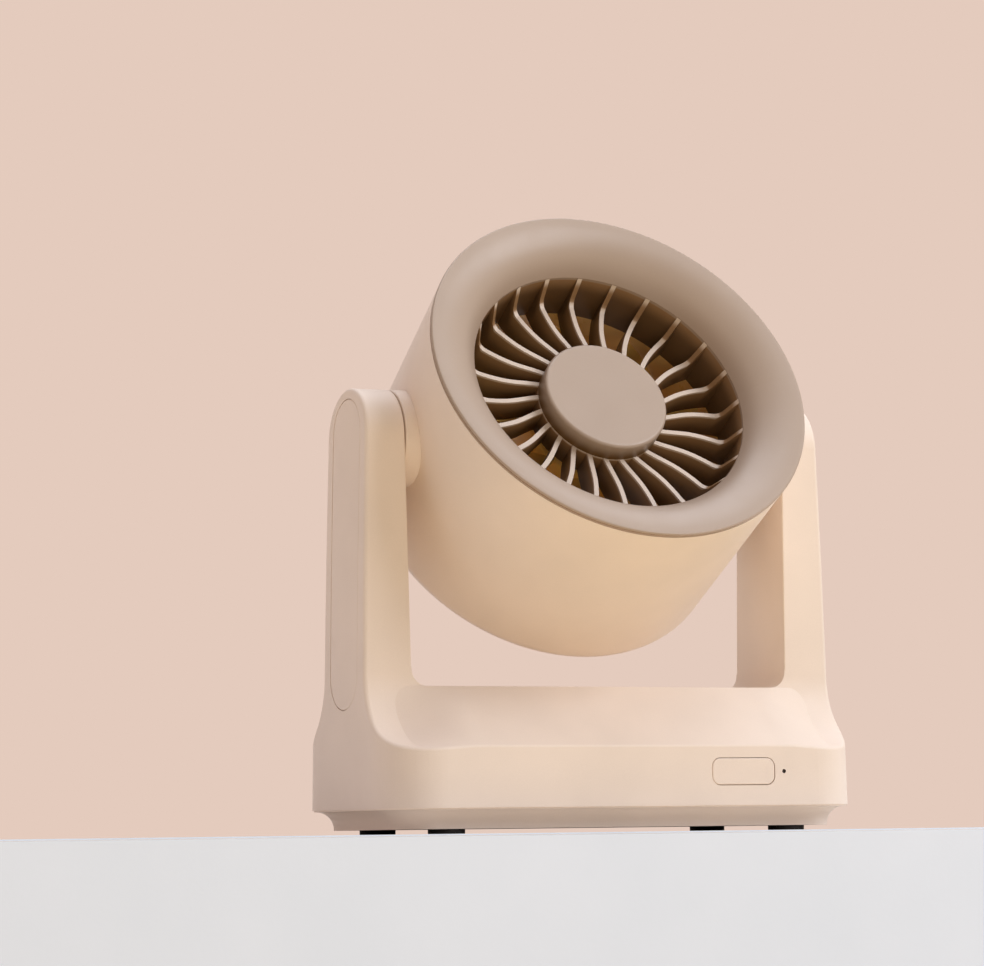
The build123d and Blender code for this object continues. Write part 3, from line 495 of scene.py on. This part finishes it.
def screw(shape, top, inward, sideways, head_radius, head_depth, radius, length, pitch):
    """One screw: its head, and a pointed shank whose thread grows over the first turn."""
    sides, steps_per_turn, thread_depth = 40, 6, 0.22
    across = (sideways, inward.cross(sideways))
    last = screw_head(shape, top, inward, across, sides, head_radius, head_depth, radius)
    steps = int((length - radius) / (pitch / steps_per_turn))
    for step in range(1, steps + 1):
        grown = min(1, step / steps_per_turn)
        points = []
        for i in range(sides):
            phase = (step / steps_per_turn - i / sides) % 1
            cut = thread_depth * abs(2 * phase - 1) * grown
            points.append(polar(radius * (1 - cut), i, sides))
        depth = head_depth + step * pitch / steps_per_turn
        here = ring(shape, top + inward * depth, across, points)
        skin(shape, last, here)
        last = here
    tip = shape.verts.new(top + inward * (head_depth + length))
    for i in range(sides):
        shape.faces.new((last[i], last[(i + 1) % sides], tip))


def screws(name, node, places, inward, sideways, **sizes):
    """A piece with one screw at each place, which stands for a CAD node."""
    shape = bmesh.new()
    for place in places:
        screw(shape, place, inward, sideways, **sizes)
    bmesh.ops.recalc_face_normals(shape, faces=shape.faces)
    mesh = bpy.data.meshes.new(name)
    shape.to_mesh(mesh)
    shape.free()
    piece = link(bpy.data.objects.new(name, mesh))
    mesh.materials.append(nodes[node].data.materials[0])
    for polygon in mesh.polygons:
        polygon.use_smooth = len(polygon.vertices) == 4
    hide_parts(node)
    return piece


rightward = Vector((1, 0, 0))
upward = Vector((0, 0, 1))

# Rear screws: on a circle round the head's axis, with their heads behind the pivot.
circle_radius, behind_pivot = 0.0556, 0.0391
head_up = head_axis.cross(rightward)
rear_places = []
for angle in (90, 210, 330):
    turn = math.radians(angle)
    outward = rightward * math.cos(turn) + head_up * math.sin(turn)
    rear_places.append(pivot + outward * circle_radius - head_axis * behind_pivot)
rear_piece = screws(
    "rear_screw_set", "rear_screws", rear_places, head_axis, rightward,
    head_radius=0.00175, head_depth=0.0011, radius=0.0011, length=0.0083, pitch=0.0007)
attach(rear_piece, "head")

# Base screws: one in each foot's seat, driven upwards.
foot_x, foot_y, seat_height = 0.0664, 0.0296, 0.0032
foot_places = [Vector((x, y, seat_height)) for x in (-foot_x, foot_x) for y in (-foot_y, foot_y)]
base_piece = screws(
    "base_screw_set", "base_screws", foot_places, upward, rightward,
    head_radius=0.0028, head_depth=0.0018, radius=0.00145, length=0.0130, pitch=0.0009)
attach(base_piece, "yoke")


# ---- Floor: a pale slab whose front edge lies just before the base, as in the photograph ----
def slab():
    width, depth, thickness = 3.2, 3.0, 0.5
    front_edge, softened_edge = -0.07, 0.0008
    mesh = bpy.data.meshes.new("floor")
    shape = bmesh.new()
    bmesh.ops.create_cube(shape, size=1)
    bmesh.ops.scale(shape, vec=(width, depth, thickness), verts=shape.verts)
    middle = (0, front_edge + depth / 2, -thickness / 2)
    bmesh.ops.translate(shape, vec=middle, verts=shape.verts)
    bmesh.ops.bevel(
        shape, geom=list(shape.edges), offset=softened_edge, segments=3, affect="EDGES")
    shape.to_mesh(mesh)
    shape.free()
    blotch_scale, pit_scale = 14, 400
    made = Finish("pale_floor")
    blotch = made.noise(blotch_scale, 4)
    pits = made.noise(pit_scale)
    facing_up = made.components(made.add("TexCoord").outputs["Normal"])["Z"]
    # The sides are painted paler and bluer than the top: painted light on faces that the dim
    # front of the room leaves in shade.
    side = made.ramp(blotch, 0.25, 0.75, srgb(227, 236, 249), srgb(233, 241, 254))
    top = made.ramp(blotch, 0.25, 0.75, srgb(215, 212, 208), srgb(222, 219, 215))
    mesh.materials.append(made.set(
        Base_Color=made.mix(made.remap(facing_up, 0.02, 0.2), side, top),
        Roughness=made.spread(pits, 0.8, 0.92),
        Specular_IOR_Level=0.2,
        Normal=made.bump(pits, 0.15, 0.0003),
    ))
    return link(bpy.data.objects.new("floor", mesh))


slab()


# ---- Room: it lights from all sides, dim in front and warm from below ----
world = bpy.data.worlds.new("room")
bpy.context.scene.world = world
world.use_nodes = True
room = Tree(world.node_tree, "Generated")
toward = room.components()
sides = room.mix(room.remap(toward["X"], -0.9, 0.3), srgb(209, 191, 190), srgb(200, 199, 200))
front = room.mix(room.remap(toward["Y"], -0.85, -0.1), srgb(104, 101, 104), sides)
walls = room.mix(room.remap(toward["Z"], -0.3, 0.13), srgb(255, 232, 194), front)
light = room.tree.nodes["Background"]
room.feed_all(light, Color=walls, Strength=0.95)

# What is seen directly, mirrored or through clear parts is one plain colour instead.
backdrop = room.add("Background")
room.feed_all(backdrop, Color=srgb(228, 203, 189), Strength=1)
path = room.add("LightPath")
seen = path.outputs["Is Camera Ray"]
for kind in ("Is Glossy Ray", "Is Transmission Ray"):
    seen = room.calculate("MAXIMUM", seen, path.outputs[kind])
choose = room.add("MixShader")
for socket, value in zip(choose.inputs, (seen, light.outputs[0], backdrop.outputs[0])):
    room.feed(socket, value)
room.feed(room.tree.nodes["World Output"].inputs["Surface"], choose.outputs[0])


# ---- Lamps: a broad key from the upper right and front, a top light and a faint low one ----
def area_light(name, place, aim, size, power, color):
    """A rectangular lamp that faces a point. power is in watts."""
    data = bpy.data.lights.new(name, "AREA")
    data.shape = "RECTANGLE"
    data.size, data.size_y = size
    data.energy = power
    data.color = color
    lamp = link(bpy.data.objects.new(name, data))
    turn = (Vector(aim) - Vector(place)).to_track_quat("-Z", "Y")
    lamp.matrix_world = Matrix.Translation(place) @ turn.to_matrix().to_4x4()


area_light("key", place=(1.45, -1.5, 1.51), aim=(0, 0, 0.11), size=(1.2, 1.2),
           power=36, color=(0.96, 1.0, 1.10))
area_light("top", place=(0.3, 0.2, 1.5), aim=(0, 0, 0.1), size=(1.2, 1.2),
           power=11.5, color=(0.92, 0.98, 1.09))
area_light("low", place=(-0.3, -1.35, -0.22), aim=(0, 0, 0.05), size=(1.2, 0.3),
           power=2.5, color=(1.0, 0.90, 0.78))
